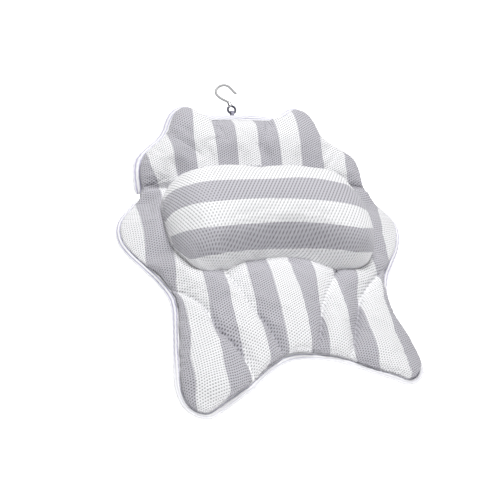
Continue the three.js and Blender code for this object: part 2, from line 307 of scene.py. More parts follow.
def membrane(verts, tris, reach, rim, held, target, load=None):
    """A skin blown up over the mesh: 0 at the rim, level beyond its reach, pulled to target where held is above 0."""
    n = len(verts)
    p = [verts[tris[:, k]] for k in range(3)]
    area = 0.5 * np.abs(
        (p[1][:, 0] - p[0][:, 0]) * (p[2][:, 1] - p[0][:, 1]) - (p[1][:, 1] - p[0][:, 1]) * (p[2][:, 0] - p[0][:, 0])
    )
    area = np.maximum(area, 1e-6)
    mass = np.zeros(n)
    for k in range(3):
        np.add.at(mass, tris[:, k], area / 3)
    rows, cols, vals = [], [], []
    for k in range(3):
        i, j, o = tris[:, (k + 1) % 3], tris[:, (k + 2) % 3], tris[:, k]
        e1, e2 = verts[i] - verts[o], verts[j] - verts[o]
        cot = (e1 * e2).sum(1) / (2 * area)
        cot = np.clip(cot, 0.02, 20) / 2
        rows += [i, j]
        cols += [j, i]
        vals += [cot, cot]
    rows, cols, vals = np.concatenate(rows), np.concatenate(cols), np.concatenate(vals)
    diag = np.bincount(rows, vals, n) + mass / reach**2 + mass * held
    rhs = mass / reach**2 * (1.0 if load is None else load) + mass * held * target
    free = ~rim
    x = np.where(free, 0.5, 0.0)

    def times(y):
        out = diag * y - np.bincount(rows, vals * y[cols], n)
        return np.where(free, out, 0)

    r = np.where(free, rhs, 0) - times(x)
    z = r / diag
    d = z.copy()
    rz = r @ z
    for _ in range(600):
        ad = times(d)
        step = rz / max(d @ ad, 1e-20)
        x += step * d
        r -= step * ad
        if np.abs(r).max() < 1e-7:
            break
        z = r / diag
        new = r @ z
        d = z + d * (new / rz)
        rz = new
    return np.clip(x, 0, None)


def waves(p, scale, seed):
    """Smooth wandering noise, about -1 to 1, the same on every run."""
    rng = np.random.default_rng(seed)
    out = np.zeros(len(p))
    for k in range(7):
        a = rng.uniform(0, 2 * math.pi)
        f = 2 * math.pi / (scale * rng.uniform(0.7, 1.6))
        out += np.sin(f * (p[:, 0] * math.cos(a) + p[:, 1] * math.sin(a)) + rng.uniform(0, 6.28)) / 7**0.5
    return out


def smooth(x):
    x = np.clip(x, 0, 1)
    return x * x * (3 - 2 * x)


def lie(u, v):
    """How the soft panels lie: the lower edge is skewed, one flare's tip droops and the other lifts, and the
    padding swells out over the right-hand end of the fold."""
    dv = smooth((-190 - v) / 80) * np.interp(u, LIE_U, LIE_V) + 4.0 * smooth((v - 80) / 32)
    dz = smooth((-283 - v) / 34) * np.interp(u, [-150, -110, -60, 60, 110, 150], [-8, -8, -4, 4, 8, 8])
    right = np.interp(
        v, [-300, -260, -170, -135, -110, -77, -44, -22, -8, 0, 6, 18, 37, 52, 64, 76],
        [3, 4, 5, 2, 1, 3, 9, 13, 13, 13, 11, 7, 5, 6, 3, 0],
    )
    left = np.interp(v, [-300, -240, -200, -170, -60, -20, 5, 30, 55, 75], [-6, -6, -3, 0, 0, 3, 5, 5, 3, 0])
    du = right * smooth((u - 80) / 65) + left * smooth((-u - 80) / 60)
    return du, dv, dz


def on_panels(u, v, h):
    """Panel coordinates to the part's frame, in metres: the lower panel lies flat, the head panel is folded up."""
    t = smooth((v + 6) / 22)
    du, dv, dz = lie(u, v)
    u, v, h = u + du, v + dv, h + dz
    y = v * (1 - t) + (v * CF - h * SF) * t
    z = h * (1 - t) + (v * SF + h * CF) * t
    return np.stack([u, y + Y_SHIFT, z + BASE_Z], 1) * MM


def on_head(u, w, h):
    u, w, h = np.broadcast_arrays(np.asarray(u, float), w, h)
    return np.stack([u, Y_SHIFT + w * CF - h * SF, BASE_Z + w * SF + h * CF], -1) * MM


def on_lower(u, v, h):
    u, v, h = np.broadcast_arrays(np.asarray(u, float), v, h)
    return np.stack([u, Y_SHIFT + v, BASE_Z + h], -1) * MM


def soft_head(u, w, h):
    du, dv, dz = lie(u, w)
    return on_head(u + du, w + dv, h + dz)


def soft_lower(u, v, h):
    du, dv, dz = lie(u, v)
    return on_lower(u + du, v + dv, h + dz)


# ------------------------------------------------------------------ mesh helpers
def make(name, verts, faces, material, smooth_shade=True):
    me = bpy.data.meshes.new(name)
    me.from_pydata([tuple(map(float, v)) for v in verts], [], [tuple(int(i) for i in f) for f in faces])
    me.validate()
    ob = bpy.data.objects.new(name, me)
    bpy.context.scene.collection.objects.link(ob)
    if smooth_shade:
        me.polygons.foreach_set("use_smooth", [True] * len(me.polygons))
    me.materials.append(material)
    bm = bmesh.new()
    bm.from_mesh(me)
    bmesh.ops.recalc_face_normals(bm, faces=bm.faces)
    bm.to_mesh(me)
    bm.free()
    me.update()
    return ob


def attribute(ob, name, values, kind="FLOAT_VECTOR"):
    a = ob.data.attributes.new(name, kind, "POINT")
    a.data.foreach_set("vector" if kind == "FLOAT_VECTOR" else "value", np.asarray(values, np.float32).ravel())


def lathe(name, profile, material, place, segments=48):
    """A turned piece: profile is (radius, height) in mm, closed on the axis or into a ring; place maps (x, y, z) to the frame."""
    verts, faces, index = [], [], []
    ring = profile[0] == profile[-1]
    prof = profile[:-1] if ring else profile
    for r, z in prof:
        if r < 1e-6:
            index.append([len(verts)])
            verts.append((0, 0, z))
        else:
            index.append(list(range(len(verts), len(verts) + segments)))
            for k in range(segments):
                a = 2 * math.pi * k / segments
                verts.append((r * math.cos(a), r * math.sin(a), z))
    count = len(prof)
    for i in range(count if ring else count - 1):
        a, b = index[i], index[(i + 1) % count]
        for k in range(segments):
            m = (k + 1) % segments
            if len(a) == 1 and len(b) == 1:
                continue
            if len(a) == 1:
                faces.append((a[0], b[k], b[m]))
            elif len(b) == 1:
                faces.append((a[k], a[m], b[0]))
            else:
                faces.append((a[k], a[m], b[m], b[k]))
    v = np.array(verts, float)
    return make(name, place(v), faces, material)


def settle(ob, hold, cap, pressure):
    """Swells a closed cover with its filling: Blender's cloth under pressure, held by weights, each point's travel capped."""
    group = ob.vertex_groups.new(name="hold")
    for value in np.unique(hold):
        if value > 0:
            group.add([int(i) for i in np.nonzero(hold == value)[0]], float(value), "REPLACE")
    mod = ob.modifiers.new("cloth", "CLOTH")
    cloth = mod.settings
    cloth.quality = 4
    cloth.mass = 0.25
    cloth.tension_stiffness = cloth.compression_stiffness = 20.0
    cloth.shear_stiffness = 8.0
    cloth.bending_stiffness = 0.4
    cloth.tension_damping = cloth.compression_damping = cloth.shear_damping = 12.0
    cloth.air_damping = 3.0
    cloth.use_pressure = True
    cloth.uniform_pressure_force = pressure
    cloth.effector_weights.gravity = 0.0
    cloth.vertex_group_mass = "hold"
    cloth.pin_stiffness = 1.0
    cloth.shrink_min = -0.02
    mod.collision_settings.use_collision = False
    mod.collision_settings.use_self_collision = False
    mod.point_cache.frame_start, mod.point_cache.frame_end = 1, 20
    count = len(ob.data.vertices)
    start = np.empty(count * 3, np.float32)
    ob.data.vertices.foreach_get("co", start)
    scene = bpy.context.scene
    for k in range(1, 21):
        scene.frame_set(k)
    shaped = ob.evaluated_get(bpy.context.evaluated_depsgraph_get())
    end = np.empty(count * 3, np.float32)
    shaped.data.vertices.foreach_get("co", end)
    move = (end - start).reshape(-1, 3).astype(float)
    far = np.linalg.norm(move, axis=1)
    reach = cap * MM
    move *= (reach * np.tanh(far / reach) / np.maximum(far, 1e-9))[:, None]
    ob.modifiers.clear()
    ob.vertex_groups.clear()
    scene.frame_set(1)
    ob.data.vertices.foreach_set("co", (start.reshape(-1, 3) + move).astype(np.float32).ravel())
    ob.data.update()


# ------------------------------------------------------------------ materials
class Nodes:
    def __init__(self, name):
        self.mat = bpy.data.materials.new(name)
        self.mat.use_nodes = True
        self.tree = self.mat.node_tree
        self.bsdf = self.tree.nodes["Principled BSDF"]

    def new(self, kind, **props):
        n = self.tree.nodes.new(kind)
        for k, v in props.items():
            setattr(n, k, v)
        return n

    def link(self, a, b):
        self.tree.links.new(a, b)

    def math(self, op, a, b=None, clamp=False):
        n = self.new("ShaderNodeMath", operation=op, use_clamp=clamp)
        for i, x in enumerate((a, b)):
            if x is None:
                continue
            if isinstance(x, (int, float)):
                n.inputs[i].default_value = x
            else:
                self.link(x, n.inputs[i])
        return n.outputs[0]

    def range(self, x, a, b, c=0.0, d=1.0, kind="SMOOTHSTEP"):
        n = self.new("ShaderNodeMapRange", interpolation_type=kind)
        self.link(x, n.inputs[0])
        for i, val in enumerate((a, b, c, d)):
            n.inputs[1 + i].default_value = val
        return n.outputs[0]

    def mix(self, fac, a, b, blend="MIX"):
        n = self.new("ShaderNodeMix", data_type="RGBA", blend_type=blend)
        for sock, x in ((n.inputs[0], fac), (n.inputs[6], a), (n.inputs[7], b)):
            if isinstance(x, (int, float)):
                sock.default_value = x
            elif isinstance(x, (tuple, list)):
                sock.default_value = (*x, 1.0) if len(x) == 3 else x
            else:
                self.link(x, sock)
        return n.outputs[2]

    def noise(self, vector, scale, detail=3.0, rough=0.5):
        n = self.new("ShaderNodeTexNoise")
        n.inputs["Scale"].default_value = scale
        n.inputs["Detail"].default_value = detail
        n.inputs["Roughness"].default_value = rough
        if vector is not None:
            self.link(vector, n.inputs["Vector"])
        return n.outputs["Fac"]

    def bump(self, height, strength, distance, normal=None):
        n = self.new("ShaderNodeBump")
        n.inputs["Strength"].default_value = strength
        n.inputs["Distance"].default_value = distance
        self.link(height, n.inputs["Height"])
        if normal is not None:
            self.link(normal, n.inputs["Normal"])
        return n.outputs["Normal"]


GREY = (0.54, 0.53, 0.58)
WHITE = (0.93, 0.93, 0.95)


def air_mesh(name, stripe, pitch, hole_shade, bump, lean, grey=GREY, white=WHITE):
    """Open knit with a lattice of small holes that run together along one diagonal, striped by 'stripe'."""
    m = Nodes(name)
    cloth = m.new("ShaderNodeAttribute", attribute_name="fabric").outputs["Vector"]
    split = m.new("ShaderNodeSeparateXYZ")
    m.link(cloth, split.inputs[0])
    x, y = split.outputs[0], split.outputs[1]
    # holes in staggered rows along the stripes
    k = 2 * math.pi / (pitch * MM)
    c1 = m.math("COSINE", m.math("MULTIPLY", x, k * 2 / math.sqrt(3)))
    part = m.math("MULTIPLY", x, k / math.sqrt(3))
    c2 = m.math("COSINE", m.math("ADD", m.math("MULTIPLY", y, k), part))
    c3 = m.math("COSINE", m.math("SUBTRACT", m.math("MULTIPLY", y, k), part))
    turn = m.new("ShaderNodeAttribute", attribute_name="turn").outputs["Fac"]
    w2 = m.math("ADD", m.math("MULTIPLY", turn, lean - 1), 1.0)
    w3 = m.math("SUBTRACT", lean + 1.0, w2)
    lattice = m.math("ADD", m.math("MULTIPLY", c2, w2), m.math("MULTIPLY", c3, w3))
    lattice = m.math("MULTIPLY", m.math("ADD", c1, lattice), 1 / (2 + lean))
    hole = m.range(lattice, -0.05, 0.80)
    yarn = m.noise(cloth, 900.0, 2.0)
    cloud = m.noise(cloth, 22.0, 3.0)
    if stripe:
        s = m.new("ShaderNodeAttribute", attribute_name="stripe").outputs["Fac"]
        wobble = m.math("MULTIPLY", m.math("SUBTRACT", m.noise(cloth, 260.0, 2.0), 0.5), 0.10)
        c = m.math("ADD", m.math("COSINE", m.math("MULTIPLY", s, math.pi)), wobble)
        is_white = m.range(c, -0.045, 0.045)
        base = m.mix(is_white, grey, white)
        # painted shade: darker copies of the grey and the white stand for the shade inside the knit's holes
        shaded_hole_colour = m.mix(is_white, tuple(g * 0.27 for g in grey), tuple(w * 0.45 for w in white))
    else:
        base = m.mix(cloud, white, tuple(w * 0.97 for w in white))
        # painted shade: a darker copy of the white stands for the shade inside the knit's holes
        shaded_hole_colour = m.mix(cloud, tuple(w * 0.72 for w in white), tuple(w * 0.70 for w in white))
    # the holes are painted towards that shade colour
    colour = m.mix(m.math("MULTIPLY", hole, hole_shade), base, shaded_hole_colour)
    colour = m.mix(m.range(yarn, 0.2, 0.8, 0.0, 0.10, "LINEAR"), colour, (1, 1, 1))
    colour = m.mix(m.range(cloud, 0.35, 0.75, 0.0, 0.06, "LINEAR"), colour, (0.45, 0.45, 0.5))
    m.link(colour, m.bsdf.inputs["Base Color"])
    height = m.math("ADD", m.math("MULTIPLY", hole, -1.0), m.math("MULTIPLY", yarn, 0.18))
    m.link(m.bump(height, bump, 0.0009), m.bsdf.inputs["Normal"])
    m.bsdf.inputs["Roughness"].default_value = 0.88
    m.bsdf.inputs["Specular IOR Level"].default_value = 0.22
    m.bsdf.inputs["Sheen Weight"].default_value = 0.22
    m.bsdf.inputs["Sheen Roughness"].default_value = 0.45
    return m.mat


def woven_tape(name, colour, pitch, along, groove_shade_colour=None):
    """Fine woven tape; 'fabric' holds length along and across, in metres."""
    m = Nodes(name)
    cloth = m.new("ShaderNodeAttribute", attribute_name="fabric").outputs["Vector"]
    split = m.new("ShaderNodeSeparateXYZ")
    m.link(cloth, split.inputs[0])
    k = 2 * math.pi / (pitch * MM)
    a = m.math("SINE", m.math("MULTIPLY", split.outputs[0], k))
    b = m.math("SINE", m.math("MULTIPLY", split.outputs[1], k * 1.25))
    weave = m.math("MULTIPLY", a, b)
    grain = m.noise(cloth, 1200.0, 2.0)
    cloud = m.noise(cloth, 35.0, 2.0)
    c = m.mix(m.range(weave, -1, 1, 0, 1, "LINEAR"), tuple(x * 0.9 for x in colour), colour)
    c = m.mix(m.range(cloud, 0.3, 0.75, 0.0, 0.16, "LINEAR"), c, along)
    if groove_shade_colour:
        # painted shade: the 'line' attribute darkens the sewn grooves towards this colour
        c = m.mix(m.new("ShaderNodeAttribute", attribute_name="line").outputs["Fac"], c, groove_shade_colour)
    m.link(c, m.bsdf.inputs["Base Color"])
    height = m.math("ADD", m.math("MULTIPLY", weave, 0.5), m.math("MULTIPLY", grain, 0.3))
    m.link(m.bump(height, 0.35, 0.0003), m.bsdf.inputs["Normal"])
    m.bsdf.inputs["Roughness"].default_value = 0.78
    m.bsdf.inputs["Sheen Weight"].default_value = 0.2
    return m.mat


def moulded(name, colour, rough, transmission=0.0, sub=0.0):
    m = Nodes(name)
    geo = m.new("ShaderNodeTexCoord").outputs["Object"]
    n1 = m.noise(geo, 60.0, 3.0)
    n2 = m.noise(geo, 900.0, 2.0)
    c = m.mix(m.range(n1, 0.3, 0.7, 0.0, 0.14, "LINEAR"), colour, tuple(x * 0.86 for x in colour))
    m.link(c, m.bsdf.inputs["Base Color"])
    m.link(m.range(n1, 0.25, 0.8, rough * 0.85, rough * 1.25, "LINEAR"), m.bsdf.inputs["Roughness"])
    m.link(m.bump(n2, 0.08, 0.0002), m.bsdf.inputs["Normal"])
    m.bsdf.inputs["IOR"].default_value = 1.48
    m.bsdf.inputs["Transmission Weight"].default_value = transmission
    return m.mat


def metal(name, colour, rough, wear):
    m = Nodes(name)
    geo = m.new("ShaderNodeTexCoord").outputs["Object"]
    n1 = m.noise(geo, 140.0, 4.0)
    n2 = m.noise(geo, 2200.0, 2.0)
    c = m.mix(m.range(n1, 0.4, 0.8, 0.0, 0.45, "LINEAR"), colour, wear)
    m.link(c, m.bsdf.inputs["Base Color"])
    m.link(m.range(n1, 0.3, 0.75, rough * 0.8, rough * 1.4, "LINEAR"), m.bsdf.inputs["Roughness"])
    m.link(m.bump(n2, 0.06, 0.0001), m.bsdf.inputs["Normal"])
    m.bsdf.inputs["Metallic"].default_value = 1.0
    return m.mat


STRIPED = air_mesh("striped_air_mesh", True, 3.1, 1.0, 0.7, 2.2)
ROLL_STRIPED = air_mesh("roll_air_mesh", True, 4.4, 0.72, 0.7, 5.0)
PLAIN = air_mesh("white_air_mesh", False, 3.0, 0.6, 0.4, 1.0)
# the tape's last colour is painted shade for its sewn grooves
TAPE = woven_tape("binding_tape", (0.97, 0.97, 0.99), 0.9, (0.93, 0.93, 0.98), (0.53, 0.51, 0.65))
WEBBING = woven_tape("webbing", (0.30, 0.29, 0.37), 1.1, (0.24, 0.23, 0.31))
THREAD = woven_tape("thread", (0.70, 0.69, 0.84), 0.5, (0.62, 0.60, 0.78))
VINYL = moulded("milky_vinyl", (0.86, 0.89, 0.90), 0.22, 0.35)
PLASTIC = moulded("eyelet_plastic", (0.84, 0.84, 0.86), 0.3)
WIRE = moulded("coated_wire", (0.42, 0.42, 0.425), 0.38)
BARREL = metal("bright_barrel", (0.80, 0.80, 0.82), 0.25, (0.66, 0.66, 0.70))
SWIVEL = moulded("dark_swivel", (0.07, 0.07, 0.10), 0.4)

# ------------------------------------------------------------------ panels: outline, creases, padding
right_side = list(reversed(LOWER_HALF)) + list(UPPER_HALF)
whole = right_side + [(-x, y) for x, y in reversed(right_side[1:-1])]
OUT = ccw(spline(whole, 2.6, closed=True))
SEAM = OUT + inward(OUT) * SEAM_IN

# pulled creases, each with its depth at both ends as a share of the padding's height
CREASES = [
    ([(-143, -146), (-132, -158), (-114, -177), (-101, -199), (-94, -226), (-84, -241), (-76, -256), (-69, -274), (-66, -291), (-68, -302)], 0.52, 0.66),
    ([(139, -135), (127, -148), (106, -174), (94, -190), (85, -213), (77, -233), (68, -258), (62, -272)], 0.56, 0.62),
    ([(-64, -147), (-56, -170), (-49, -190), (-40, -210), (-32, -229), (-25, -250), (-19, -264)], 0.30, 0.64),
    ([(79, -139), (63, -165), (46, -193), (38, -213), (33, -231), (27, -249), (22, -260)], 0.34, 0.60),
    ([(-147, 10), (-136, 12), (-127, 14), (-116, 18)], 0.42, 0.16),
    ([(147, 12), (136, 14), (127, 17), (116, 21)], 0.38, 0.16),
    ([(-99, 76), (-85, 64), (-70, 51)], 0.11, 0.04),
    ([(-41, 105), (-38, 93), (-34, 80)], 0.62, 0.10),
    ([(35, 105), (30, 96), (26, 88)], 0.55, 0.10),
]


def unlaid(line):
    """Points seen on the laid panel, taken back to the flat one."""
    p = np.array(line, float)
    q = p.copy()
    for _ in range(6):
        du, dv, _ = lie(q[:, 0], q[:, 1])
        q = p - np.stack([du, dv], 1)
    return q


CUP_PLAN = unlaid(LOWER_CUPS + UPPER_CUPS)


def padded_panels():
    lines = [spline(unlaid(line), 2.2) for line, _, _ in CREASES]
    verts, tris = plan_mesh(SEAM, GRID, [0.7, 1.7, 3.2, 5.2, 7.8], lines)
    rim = rim_of(tris, len(verts))
    d, foot, along = nearest(verts, SEAM)
    held = np.zeros(len(verts))
    target = np.zeros(len(verts))
    # each crease is a sharp line between two rounded shoulders
    valley = np.zeros(len(verts))
    for p, (_, first, last) in zip(lines, CREASES):
        gap, _, run = nearest(verts, p, closed=False)
        share = run / np.linalg.norm(np.diff(p, axis=0), axis=1).sum()
        shape = 0.55 * (1 - np.sqrt(1 - np.exp(-gap / 11.0))) + 0.45 * np.exp(-gap / 9.0)
        valley = np.maximum(valley, (first + (last - first) * share) * shape)
    # the sewn fold between the panels
    w = 0.6 * np.exp(-(((verts[:, 1] - 8 * smooth((np.abs(verts[:, 0]) - 90) / 50)) / 3.5) ** 2))
    target = np.where(w > held, 0.30, target)
    held = np.maximum(held, w)
    # under the neck roll the padding is pressed down
    deep = roll_depth(verts)
    under = smooth((deep - 1) / 8)
    w = 0.4 * np.exp(-((deep / 2.0) ** 2))
    target = np.where(w > held, np.where(verts[:, 0] < -70, 0.92, 0.80), target)
    held = np.maximum(held, w)
    target = np.where((under > 0.3) & (held < 0.3), 0.5, target)
    held = np.maximum(held, under * 0.03)
    skin = membrane(verts, tris, 10.0, rim, held, target)
    dome = membrane(verts, tris, 38.0, rim, held * 0.02, target)
    up = smooth((verts[:, 1] + 2) / 14)
    crown = LOWER_CROWN * (1 - up) + UPPER_CROWN * up
    rise = 0.76 * skin**0.5 + 0.24 * dome / max(dome.max(), 1e-6)
    # in the top notch the cover is drawn down to the binding
    notch = smooth((46 - np.abs(verts[:, 0] + 3)) / 14) * smooth((verts[:, 1] - 78) / 22)
    rise *= 1 - 0.42 * notch * np.exp(-d / 9)
    u, v = verts[:, 0], verts[:, 1]
    wing = smooth((np.abs(u) - 118) / 26) * smooth((v + 138) / 34) * smooth((-2 - v) / 22)
    rise *= 1 - 0.60 * wing * (1 - smooth(d / 46))
    h = SEAM_H + (crown - SEAM_H) * rise * (1 - valley)
    # gathers along the binding, and the unevenness of a stuffed cover
    gather = np.sin(along / 10.5 * 2 * math.pi + 2.2 * waves(np.stack([along, along * 0], 1), 90, 5))
    h += 0.5 * gather * np.exp(-d / 7) * (1 - np.exp(-d / 1.5))
    h += 0.7 * waves(verts, 46, 11) * (1 - np.exp(-d / 14))
    h = np.where(rim, SEAM_H, h)
    # the sides stand out over the seam
    out = np.where(d[:, None] > 1e-6, (foot - verts) / np.maximum(d, 1e-6)[:, None], 0)
    bulge = 4.2 * (d / 4.6) * np.exp(1 - d / 4.6) * (1 - notch)
    plan = verts + out * np.where(rim, 0, bulge)[:, None]
    extra = 9.0 * np.exp(-d / 9.0)
    cloth = verts + out * extra[:, None]
    gap = np.min([nearest(verts, p, closed=False)[0] for p in lines], axis=0)
    hold = np.maximum(0.9 * (gap < 1.5), 1.0 * (rim | (deep > -5)))
    hold = np.maximum(hold, 0.9 * (np.abs(verts[:, 1] - 8 * smooth((np.abs(verts[:, 0]) - 90) / 50)) < 7))
    return verts, tris, rim, plan, h, cloth, hold


roll_outline = ccw(spline(ROLL_LINE, 2.6, closed=True))


def roll_depth(p):
    """How far inside the neck roll's sewn line each point lies, below 0 outside."""
    d, _, _ = nearest(p, roll_outline)
    return np.where(inside(p, roll_outline), d, -d)


pv, pt, prim, pplan, ph, pcloth, phold = padded_panels()


def pulled(u, v):
    """How far the stripes are drawn aside by the sewing, across the panels."""
    at = [-154, -126, -98, -70, -42, -14, 14, 42, 70, 98, 126, 154]
    low = np.interp(u, at, [-6, -6, -2, 2, -1, 0, -2, 4, 1, 9, 7, 6]) * smooth((-150 - v) / 45)
    low = low * np.where(u < 0, 1 - 1.2 * smooth((-222 - v) / 45), 1 - 0.4 * smooth((-250 - v) / 45))
    head = np.interp(u, at, [8, 8, 4.6, 4, 4.5, 4, 2.7, 2.7, 2.3, 1.3, 1, 1]) * smooth((v - 6) / 30)
    head = head * (1 - 0.6 * smooth((v - 70) / 40))
    return low + head


def build_cushion():
    n = len(pv)
    top = on_panels(pplan[:, 0], pplan[:, 1], ph)
    # a level underside inside the cover, sharing the rim
    lower_index = np.full(n, -1)
    lower_index[prim] = np.nonzero(prim)[0]
    inner = np.nonzero(~prim)[0]
    lower_index[inner] = n + np.arange(len(inner))
    near = np.min(np.linalg.norm(pv[inner][:, None] - CUP_PLAN, axis=2), axis=1)
    bottom = on_panels(pv[inner, 0], pv[inner, 1], 0.6 + 8.0 * smooth((15 - near) / 4.5))
    faces = [tuple(t) for t in pt] + [tuple(lower_index[t][::-1]) for t in pt]
    ob = make("panel_cushion", np.vstack([top, bottom]), faces, STRIPED)
    settle(ob, np.r_[phold, np.ones(len(inner))], 4.0, 4.0)
    both = np.vstack([pcloth, pcloth[inner]])
    attribute(ob, "fabric", np.c_[both * MM, np.zeros(len(both))])
    both = np.r_[pv[:, 0], pv[inner, 0]], np.r_[pv[:, 1], pv[inner, 1]]
    attribute(ob, "stripe", (both[0] + pulled(*both)) / STRIPE, "FLOAT")
    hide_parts("lower_front_cover", "upper_front_cover", "lower_pad", "upper_pad", "fold_gusset")
    tuple(on_head(0, 16, 0))
    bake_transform(ob)
    return ob


def build_back():
    edge = OUT + inward(OUT) * 3.6
    turn = np.arange(32) / 32 * 2 * math.pi
    circle = np.stack([np.cos(turn), np.sin(turn)], 1)
    verts, tris = plan_mesh(edge, 7.0, [1.6, 4.0], [c + circle * 7.3 for c in CUP_PLAN])
    middle = verts[tris].mean(1)
    tris = tris[np.min(np.linalg.norm(middle[:, None] - CUP_PLAN, axis=2), axis=1) > 7.2]
    used = np.unique(tris)
    verts, tris = verts[used], np.searchsorted(used, tris)
    rim = rim_of(tris, len(verts))
    d, _, along = nearest(verts, edge)
    near = np.min(np.linalg.norm(verts[:, None] - CUP_PLAN, axis=2), axis=1)
    sag = 1.5 * (1 - np.exp(-d / 18)) * (1 - np.exp(-np.maximum(near - 11, 0) / 14)) * (0.75 + 0.25 * waves(verts, 60, 3))
    fold = np.exp(-((verts[:, 1] / 9) ** 2))
    low = -2.0 - sag * (1 - fold)
    n = len(verts)
    top = on_panels(verts[:, 0], verts[:, 1], np.full(n, -0.4))
    bottom = on_panels(verts[:, 0], verts[:, 1], np.where(rim, -1.6, low))
    faces = [tuple(t) for t in tris] + [tuple(t[::-1] + n) for t in tris]
    e = np.vstack([tris[:, [0, 1]], tris[:, [1, 2]], tris[:, [2, 0]]])
    key, first, seen = np.unique(np.sort(e, axis=1), axis=0, return_index=True, return_counts=True)
    for i, j in e[first[seen == 1]]:
        faces.append((j, i, i + n, j + n))
    ob = make("back_cover", np.vstack([top, bottom]), faces, PLAIN)
    attribute(ob, "fabric", np.c_[np.vstack([verts, verts]) * MM, np.zeros(2 * n)])
    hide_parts("lower_back_cover", "upper_back_cover")
    tuple(on_head(0, 16, 0))
    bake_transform(ob)
    return ob


cushion = build_cushion()
back = build_back()


# ------------------------------------------------------------------ bindings
def build_binding(prefix, half, body, place, node):
    line = spline(mirrored(half), 2.0)
    n = inward(line, closed=False)
    mid = np.array([0.0, -150.0]) if prefix == "lower" else np.array([0.0, 55.0])
    if np.mean(((mid - line) * n).sum(1)) < 0:
        n = -n
    centre = line + n * 1.6
    run = np.r_[0, np.cumsum(np.linalg.norm(np.diff(centre, axis=0), axis=1))]
    count = len(centre)
    # folded tape: the inner edge tucks under the cover, two sewn lines, a rounded outer fold
    top = [
        (-4.6, 0.2, 0), (-4.3, 1.0, 0), (-3.4, 1.35, 0), (-2.75, 1.4, 0), (-2.5, 0.95, 1), (-1.4, 0.95, 1), (-1.15, 1.45, 0),
        (-0.2, 1.7, 0), (1.0, 1.6, 0), (1.25, 1.15, 1), (2.35, 1.1, 1), (2.6, 1.45, 0), (3.2, 1.35, 0), (4.0, 0.85, 0), (4.35, 0.0, 0),
    ]
    low = [(4.0, -0.85, 0), (3.0, -1.3, 0), (0.0, -1.4, 0), (-3.0, -1.2, 0), (-4.3, -0.7, 0)]
    sec = np.array([(x, y) for x, y, _ in top + low])
    groove_shade_weight = np.array([t for _, _, t in top + low], float)
    m = len(sec)
    one = np.stack([run, run * 0], 1)
    ripple = 0.45 * np.sin(run / 9.5 * 2 * math.pi + 2 * waves(one, 70, 21))
    arch = smooth((-232 - line[:, 1]) / 40) if prefix == "lower" else np.zeros(count)
    lift = SEAM_H - 0.4 + 1.4 * arch + 0.35 * waves(one, 55, 22)
    tilt = np.radians(-30 + 20 * arch + 9 * waves(one, 60, 23))
    verts = []
    for i in range(count):
        end = min(run[i], run[-1] - run[i])
        size = 0.5 + 0.5 * min(1.0, end / 6.0)
        if prefix == "upper":
            size *= 1 + 0.5 * smooth((-118 - line[i, 0]) / 14) * smooth((64 - line[i, 1]) / 16)
        ca, sa = math.cos(tilt[i]), math.sin(tilt[i])
        for x, y in sec:
            a, b = (ca * x - sa * y) * size, (sa * x + ca * y) * size
            p = centre[i] - n[i] * (a + ripple[i] * 0.4)
            verts.append((p[0], p[1], lift[i] + b + ripple[i] * 0.35))
    verts = np.array(verts)
    faces = []
    for i in range(count - 1):
        for k in range(m):
            q = (k + 1) % m
            faces.append((i * m + k, i * m + q, (i + 1) * m + q, (i + 1) * m + k))
    faces.append(tuple(range(m))[::-1])
    faces.append(tuple((count - 1) * m + k for k in range(m)))
    ob = make(prefix + "_binding_tape", place(verts[:, 0], verts[:, 1], verts[:, 2]), faces, TAPE)
    girth = np.r_[0, np.cumsum(np.linalg.norm(np.diff(sec, axis=0), axis=1))]
    attribute(ob, "fabric", np.stack([np.repeat(run, m), np.tile(girth, count), np.zeros(count * m)], 1) * MM)
    # painted shade in the sewn grooves, faded along the front arch, which faces the light
    attribute(ob, "line", np.tile(groove_shade_weight, count) * np.repeat(1 - 0.75 * arch, m), "FLOAT")
    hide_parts(node)
    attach(ob, body)

    # the stitches that lie in the inner line
    pitch, length, r = 3.6, 2.5, 0.3
    sv, sf, fab = [], [], []
    for s in np.arange(8.0, run[-1] - 8.0, pitch):
        base = len(sv)
        for a, hgt in zip((-0.5, -0.25, 0, 0.25, 0.5), (-0.4, 0.2, 0.34, 0.2, -0.4)):
            at = s + a * length
            c = np.array([np.interp(at, run, centre[:, k]) for k in range(2)])
            nn = np.array([np.interp(at, run, n[:, k]) for k in range(2)])
            nn /= np.linalg.norm(nn)
            rp, lf, tl = (np.interp(at, run, q) for q in (ripple, lift, tilt))
            gx, gy = math.cos(tl) * -1.85 - math.sin(tl) * 1.0, math.sin(tl) * -1.85 + math.cos(tl) * 1.0
            px, py = c - nn * (gx + rp * 0.4)
            pz = lf + gy + rp * 0.35 + hgt
            for k in range(6):
                w = 2 * math.pi * k / 6
                sv.append((px - nn[0] * r * math.cos(w), py - nn[1] * r * math.cos(w), pz + r * math.sin(w)))
                fab.append((at, w))
        for i in range(4):
            for k in range(6):
                q = (k + 1) % 6
                sf.append((base + i * 6 + k, base + i * 6 + q, base + (i + 1) * 6 + q, base + (i + 1) * 6 + k))
        sf.append(tuple(base + k for k in range(6))[::-1])
        sf.append(tuple(base + 24 + k for k in range(6)))
    sv = np.array(sv)
    st = make(prefix + "_binding_stitches", place(sv[:, 0], sv[:, 1], sv[:, 2]), sf, THREAD)
    attribute(st, "fabric", np.c_[np.array(fab) * MM, np.zeros(len(fab))])
    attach(st, body)
    return ob


build_binding("lower", LOWER_HALF, "lower_panel", soft_lower, "lower_binding")
build_binding("upper", UPPER_HALF, "head_panel", soft_head, "upper_binding")


